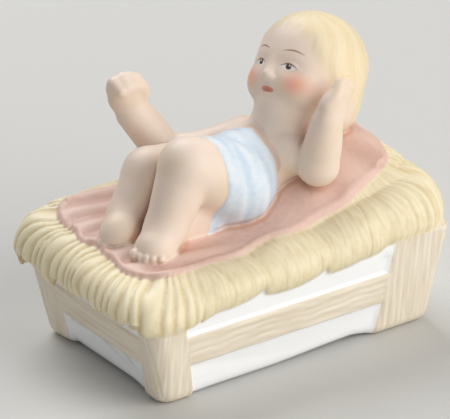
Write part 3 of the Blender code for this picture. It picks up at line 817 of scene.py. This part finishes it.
class Brush:
    """Adds nodes to one material and links them."""

    def __init__(self, material):
        self.tree = material.node_tree

    def put(self, socket, value):
        if isinstance(value, bpy.types.NodeSocket):
            self.tree.links.new(value, socket)
        else:
            socket.default_value = value

    def place(self, name, output="Fac"):
        node = self.tree.nodes.new("ShaderNodeAttribute")
        node.attribute_name = name
        return node.outputs[output]

    def axis(self, vector, index):
        node = self.tree.nodes.new("ShaderNodeSeparateXYZ")
        self.put(node.inputs[0], vector)
        return node.outputs[index]

    def math(self, operation, a, b=0.0, c=0.0):
        node = self.tree.nodes.new("ShaderNodeMath")
        node.operation = operation
        for socket, value in zip(node.inputs, (a, b, c)):
            self.put(socket, value)
        return node.outputs[0]

    def rise(self, value, low, high, top=1.0):
        """0 below low, top above high, smooth between; falling where low is above high."""
        node = self.tree.nodes.new("ShaderNodeMapRange")
        node.interpolation_type = "SMOOTHSTEP"
        falling = low > high
        self.put(node.inputs["Value"], value)
        node.inputs["From Min"].default_value = min(low, high)
        node.inputs["From Max"].default_value = max(low, high)
        node.inputs["To Min"].default_value = top if falling else 0.0
        node.inputs["To Max"].default_value = 0.0 if falling else top
        return node.outputs[0]

    def noise(self, vector, scale, detail=3.0, stretch=(1, 1, 1)):
        mapping = self.tree.nodes.new("ShaderNodeMapping")
        mapping.inputs["Scale"].default_value = stretch
        self.put(mapping.inputs["Vector"], vector)
        node = self.tree.nodes.new("ShaderNodeTexNoise")
        self.put(node.inputs["Vector"], mapping.outputs[0])
        node.inputs["Scale"].default_value = scale
        node.inputs["Detail"].default_value = detail
        return node.outputs["Fac"]

    def mix(self, share, a, b):
        node = self.tree.nodes.new("ShaderNodeMix")
        node.data_type = "RGBA"
        self.put(node.inputs["Factor"], share)
        self.put(node.inputs["A"], a)
        self.put(node.inputs["B"], b)
        return node.outputs["Result"]

    def spot(self, x, y, middle_x, middle_y, radius_x, radius_y):
        """Distance from a spot's middle in its own radii."""
        dx = self.math("DIVIDE", self.math("SUBTRACT", x, middle_x), radius_x)
        dy = self.math("DIVIDE", self.math("SUBTRACT", y, middle_y), radius_y)
        squares = self.math("ADD", self.math("MULTIPLY", dx, dx), self.math("MULTIPLY", dy, dy))
        return self.math("SQRT", squares)

    def arc(self, x, y, middle_x, middle_y, sag, half_width, thickness):
        """Share of a painted line that arches over a middle and thins towards its ends."""
        dx = self.math("SUBTRACT", x, middle_x)
        drop = self.math("MULTIPLY", self.math("MULTIPLY", dx, dx), sag)
        off = self.math("ABSOLUTE", self.math("SUBTRACT", self.math("ADD", y, drop), middle_y))
        end = self.math("DIVIDE", self.math("ABSOLUTE", dx), half_width)
        end = self.math("SUBTRACT", 1.0, self.math("MULTIPLY", end, end))
        end = self.math("MAXIMUM", end, 0.0)
        wide = self.math("MULTIPLY", end, thickness)
        line = self.rise(self.math("SUBTRACT", off, wide), 0.08, -0.08)
        return self.math("MULTIPLY", line, self.rise(end, 0.0, 0.15))


def face_colour(brush, skin):
    """Flesh with blush, painted eyes each with a painted highlight glint, brows and lips, all in the
    head's own places.
    """
    head = brush.place("in_head", "Vector")
    x, y, z = (brush.axis(head, i) for i in range(3))
    side = brush.math("ABSOLUTE", x)
    front = brush.rise(z, 2.0, 5.0)
    coats = (
        (brush.rise(brush.spot(side, y, 6.8, -5.2, 4.6, 3.9), 1.0, 0.0, 0.8), BLUSH),
        (brush.rise(brush.spot(side, y, EYE_X, EYE_Y - 0.05, 1.6, 0.7), 1.06, 0.9, 0.8), EYE_WHITE_AND_GLINT),
        (brush.rise(brush.spot(side, y, EYE_X - 0.1, EYE_Y + 0.05, 0.68, 0.66), 1.1, 0.85), IRIS),
        # Painted highlight: a small white glint in each eye
        (brush.rise(brush.spot(side, y, EYE_X + 0.1, EYE_Y + 0.4, 0.22, 0.22), 1.1, 0.8), EYE_WHITE_AND_GLINT),
        (brush.arc(side, y, EYE_X, EYE_Y + 0.72, 0.2, 2.1, 0.17), LASH),
        (brush.arc(side, y, EYE_X + 0.2, 2.3, 0.09, 2.6, 0.18), BROW),
        (brush.rise(brush.spot(side, y, 0.35, MOUTH_Y, 1.55, 0.72), 1.15, 0.7, 0.85), LIPS),
    )
    colour = skin
    for share, paint in coats:
        colour = brush.mix(brush.math("MULTIPLY", share, front), colour, paint)
    return colour


def figurine_material():
    """Painted bisque, with glossy glaze on the crate's panels."""
    material = bpy.data.materials.new("painted_bisque")
    material.use_nodes = True
    brush = Brush(material)
    shader = material.node_tree.nodes["Principled BSDF"]
    place = brush.place("place", "Vector")
    cloudy = brush.noise(place, 0.12)
    fine = brush.noise(place, 1.6)
    wobble = brush.math("MULTIPLY_ADD", brush.noise(place, 0.7), 1.2, -0.6)

    skin = brush.mix(brush.rise(cloudy, 0.45, 0.7, 0.35), FLESH, FLESH_STAIN)
    skin = face_colour(brush, skin)
    lock = brush.math("SINE", brush.place("hair_lock"))
    strokes = brush.math("SINE", brush.math("MULTIPLY", brush.place("hair_lock"), 3.7))
    hair_tone = brush.math("ADD", brush.math("MULTIPLY", lock, 0.55), brush.math("MULTIPLY", strokes, 0.3))
    hair_tone = brush.math("ADD", hair_tone, wobble)
    hair = brush.mix(brush.rise(hair_tone, 0.8, -1.0, 0.45), HAIR_PALE, HAIR_DEEP)
    feather = brush.math("ADD", wobble, brush.math("MULTIPLY", strokes, 0.25))
    hair_share = brush.rise(brush.math("ADD", brush.place("on_hair"), feather), -2.2, 3.4)
    skin = brush.mix(hair_share, skin, hair)
    # Painted shade and light: the cloth is deeper blue in its fold troughs and paler on the crests, with
    # some random tone
    cloth_shade_and_tone = brush.math("ADD", brush.place("cloth_fold"), brush.math("MULTIPLY", wobble, 0.4))
    cloth = brush.mix(brush.rise(cloth_shade_and_tone, -0.28, 0.22), CLOTH_BLUE_AND_FOLD_SHADE, CLOTH_PALE)
    body = brush.mix(brush.rise(brush.place("on_cloth"), -0.2, 0.2), skin, cloth)

    # Painted shade: the blanket is deeper pink in its fold troughs, with some random tone
    pink_shade_and_tone = brush.math("ADD", brush.place("blanket_fold"), brush.math("MULTIPLY", wobble, 0.5))
    pink = brush.mix(brush.rise(pink_shade_and_tone, 0.35, -0.5, 0.75), BLANKET_PINK, BLANKET_DEEP_AND_FOLD_SHADE)
    straw_run = brush.place("straw_place", "Vector")
    streak = brush.noise(straw_run, 1.0, 3.0, (0.9, 0.16, 0.3))
    streak = brush.math("MULTIPLY_ADD", streak, 0.8, -0.4)
    # Painted shade: the straw is deeper yellow in the grooves between bundles and strands, and along
    # random streaks
    straw_shade_and_streak = brush.math("ADD", brush.place("straw_relief"), streak)
    straw = brush.mix(brush.rise(straw_shade_and_streak, 0.25, -0.4, 0.75), STRAW_PALE, STRAW_STREAK_AND_SHADE)
    blanket = brush.math("ADD", brush.place("on_blanket"), brush.math("MULTIPLY", wobble, 0.5))
    bed = brush.mix(brush.rise(blanket, -0.6, 0.2), straw, pink)

    run = brush.place("run", "Vector")
    rail_streak = brush.noise(run, 1.0, 3.0, (0.045, 0.75, 1.0))
    post_streak = brush.noise(run, 1.0, 3.0, (0.95, 0.06, 1.0))
    change = brush.math("SUBTRACT", post_streak, rail_streak)
    streaks = brush.math("MULTIPLY_ADD", change, brush.place("post"), rail_streak)
    wood = brush.mix(brush.rise(streaks, 0.36, 0.66, 0.8), WOOD_PALE, WOOD_DEEP)
    proud = brush.math("MAXIMUM", brush.place("post"), brush.place("rail"))
    crate = brush.mix(brush.rise(proud, 0.35, 0.75), GLAZE, wood)
    crate_edge = brush.math("ADD", brush.place("on_crate"), brush.math("MULTIPLY", wobble, 0.5))
    on_crate = brush.rise(crate_edge, -0.3, 0.3)
    bed = brush.mix(on_crate, bed, crate)

    on_body = brush.rise(brush.place("on_body"), -0.15, 0.15)
    colour = brush.mix(on_body, bed, body)
    # Painted shade: creases and hollows on and beside the baby darkened towards brownish flesh
    crease_shade = brush.rise(brush.place("painted_crease_shade"), 0.25, 1.0, 0.5)
    colour = brush.mix(crease_shade, colour, CREASE_SHADE)
    brush.put(shader.inputs["Base Color"], colour)

    glazed = brush.math("MULTIPLY", brush.rise(proud, 0.6, 0.3), on_crate)
    rough = brush.math("MULTIPLY_ADD", fine, ROUGHNESS_SPREAD, BISQUE_ROUGHNESS)
    rough = brush.math("SUBTRACT", rough, brush.math("MULTIPLY", glazed, GLAZE_SMOOTHING))
    brush.put(shader.inputs["Roughness"], rough)
    pores = material.node_tree.nodes.new("ShaderNodeBump")
    pores.inputs["Strength"].default_value = PORE_STRENGTH
    pores.inputs["Distance"].default_value = PORE_DEPTH
    brush.put(pores.inputs["Height"], brush.noise(place, 5.0))
    brush.put(shader.inputs["Normal"], pores.outputs[0])
    return material


# Floor, light and camera, in metres and degrees
LOOK_AT = Vector((-2.0, -1.35, 33.07)) * MM
CAMERA_TURN, CAMERA_RISE, CAMERA_ROLL = -34.4, 24.0, -1.0
CAMERA_DISTANCE = 700.0 * MM
FRAME_WIDTH = 112.5 * MM
SENSOR_WIDTH = 36.0
FLOOR_HALF = 6.0
WORLD_COLOUR = (0.93, 0.95, 1.0, 1.0)
WORLD_STRENGTH = 0.31

# Name, direction from the figurine, distance, size, power and colour of each lamp
LAMPS = (
    ("key", (0.6, -1.0, 0.62), 1.1, 1.1, 9.2, (1.0, 0.98, 0.95)),
    ("front", (-0.25, -1.0, 0.45), 1.2, 0.8, 2.0, (1.0, 0.98, 0.95)),
    ("top", (0.1, 0.75, 0.9), 1.3, 0.9, 11.0, (1.0, 1.0, 1.0)),
)


def make_floor():
    """A wide sheet of grey paper."""
    mesh = bpy.data.meshes.new("floor")
    corners = [(x * FLOOR_HALF, y * FLOOR_HALF, 0) for x, y in ((-1, -1), (1, -1), (1, 1), (-1, 1))]
    mesh.from_pydata(corners, [], [(0, 1, 2, 3)])
    floor = bpy.data.objects.new("floor", mesh)
    bpy.context.scene.collection.objects.link(floor)
    material = bpy.data.materials.new("floor_paper")
    material.use_nodes = True
    shader = material.node_tree.nodes["Principled BSDF"]
    shader.inputs["Base Color"].default_value = FLOOR_PAPER
    shader.inputs["Roughness"].default_value = 0.8
    mesh.materials.append(material)


def area_light(name, direction, distance, size, power, colour):
    """A round lamp turned to the figurine."""
    light = bpy.data.lights.new(name, "AREA")
    light.shape = "DISK"
    light.size = size
    light.energy = power
    light.color = colour
    lamp = bpy.data.objects.new(name, light)
    bpy.context.scene.collection.objects.link(lamp)
    towards = Vector(direction).normalized()
    lamp.location = LOOK_AT + towards * distance
    lamp.rotation_mode = "QUATERNION"
    lamp.rotation_quaternion = towards.to_track_quat("Z", "Y")


def make_camera():
    """The camera at the photograph's angle."""
    turn, rise, roll = (math.radians(v) for v in (CAMERA_TURN, CAMERA_RISE, CAMERA_ROLL))
    back = Vector((math.sin(turn) * math.cos(rise), -math.cos(turn) * math.cos(rise), math.sin(rise)))
    level = Vector((math.cos(turn), math.sin(turn), 0))
    upright = back.cross(level)
    right = level * math.cos(roll) + upright * math.sin(roll)
    up = upright * math.cos(roll) - level * math.sin(roll)
    camera = bpy.data.objects.new("camera", bpy.data.cameras.new("camera"))
    bpy.context.scene.collection.objects.link(camera)
    camera.location = LOOK_AT + back * CAMERA_DISTANCE
    camera.rotation_mode = "QUATERNION"
    camera.rotation_quaternion = Matrix((right, up, back)).transposed().to_quaternion()
    camera.data.sensor_width = SENSOR_WIDTH
    camera.data.lens = SENSOR_WIDTH * CAMERA_DISTANCE / FRAME_WIDTH
    camera.data.clip_start = 0.01
    camera.data.clip_end = 100.0
    bpy.context.scene.camera = camera


def make_world():
    """Even light from all around."""
    world = bpy.data.worlds.new("studio")
    world.use_nodes = True
    background = world.node_tree.nodes["Background"]
    background.inputs["Color"].default_value = WORLD_COLOUR
    background.inputs["Strength"].default_value = WORLD_STRENGTH
    bpy.context.scene.world = world


make_camera()
make_world()
make_floor()
for lamp_row in LAMPS:
    area_light(*lamp_row)
bpy.context.scene.view_settings.view_transform = "Standard"

figurine = bpy.data.objects.new("painted_figurine", sculpt())
bpy.context.scene.collection.objects.link(figurine)
figurine.data.materials.append(figurine_material())
figurine.data.shade_smooth()
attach(figurine, "root")
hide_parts(NODE)
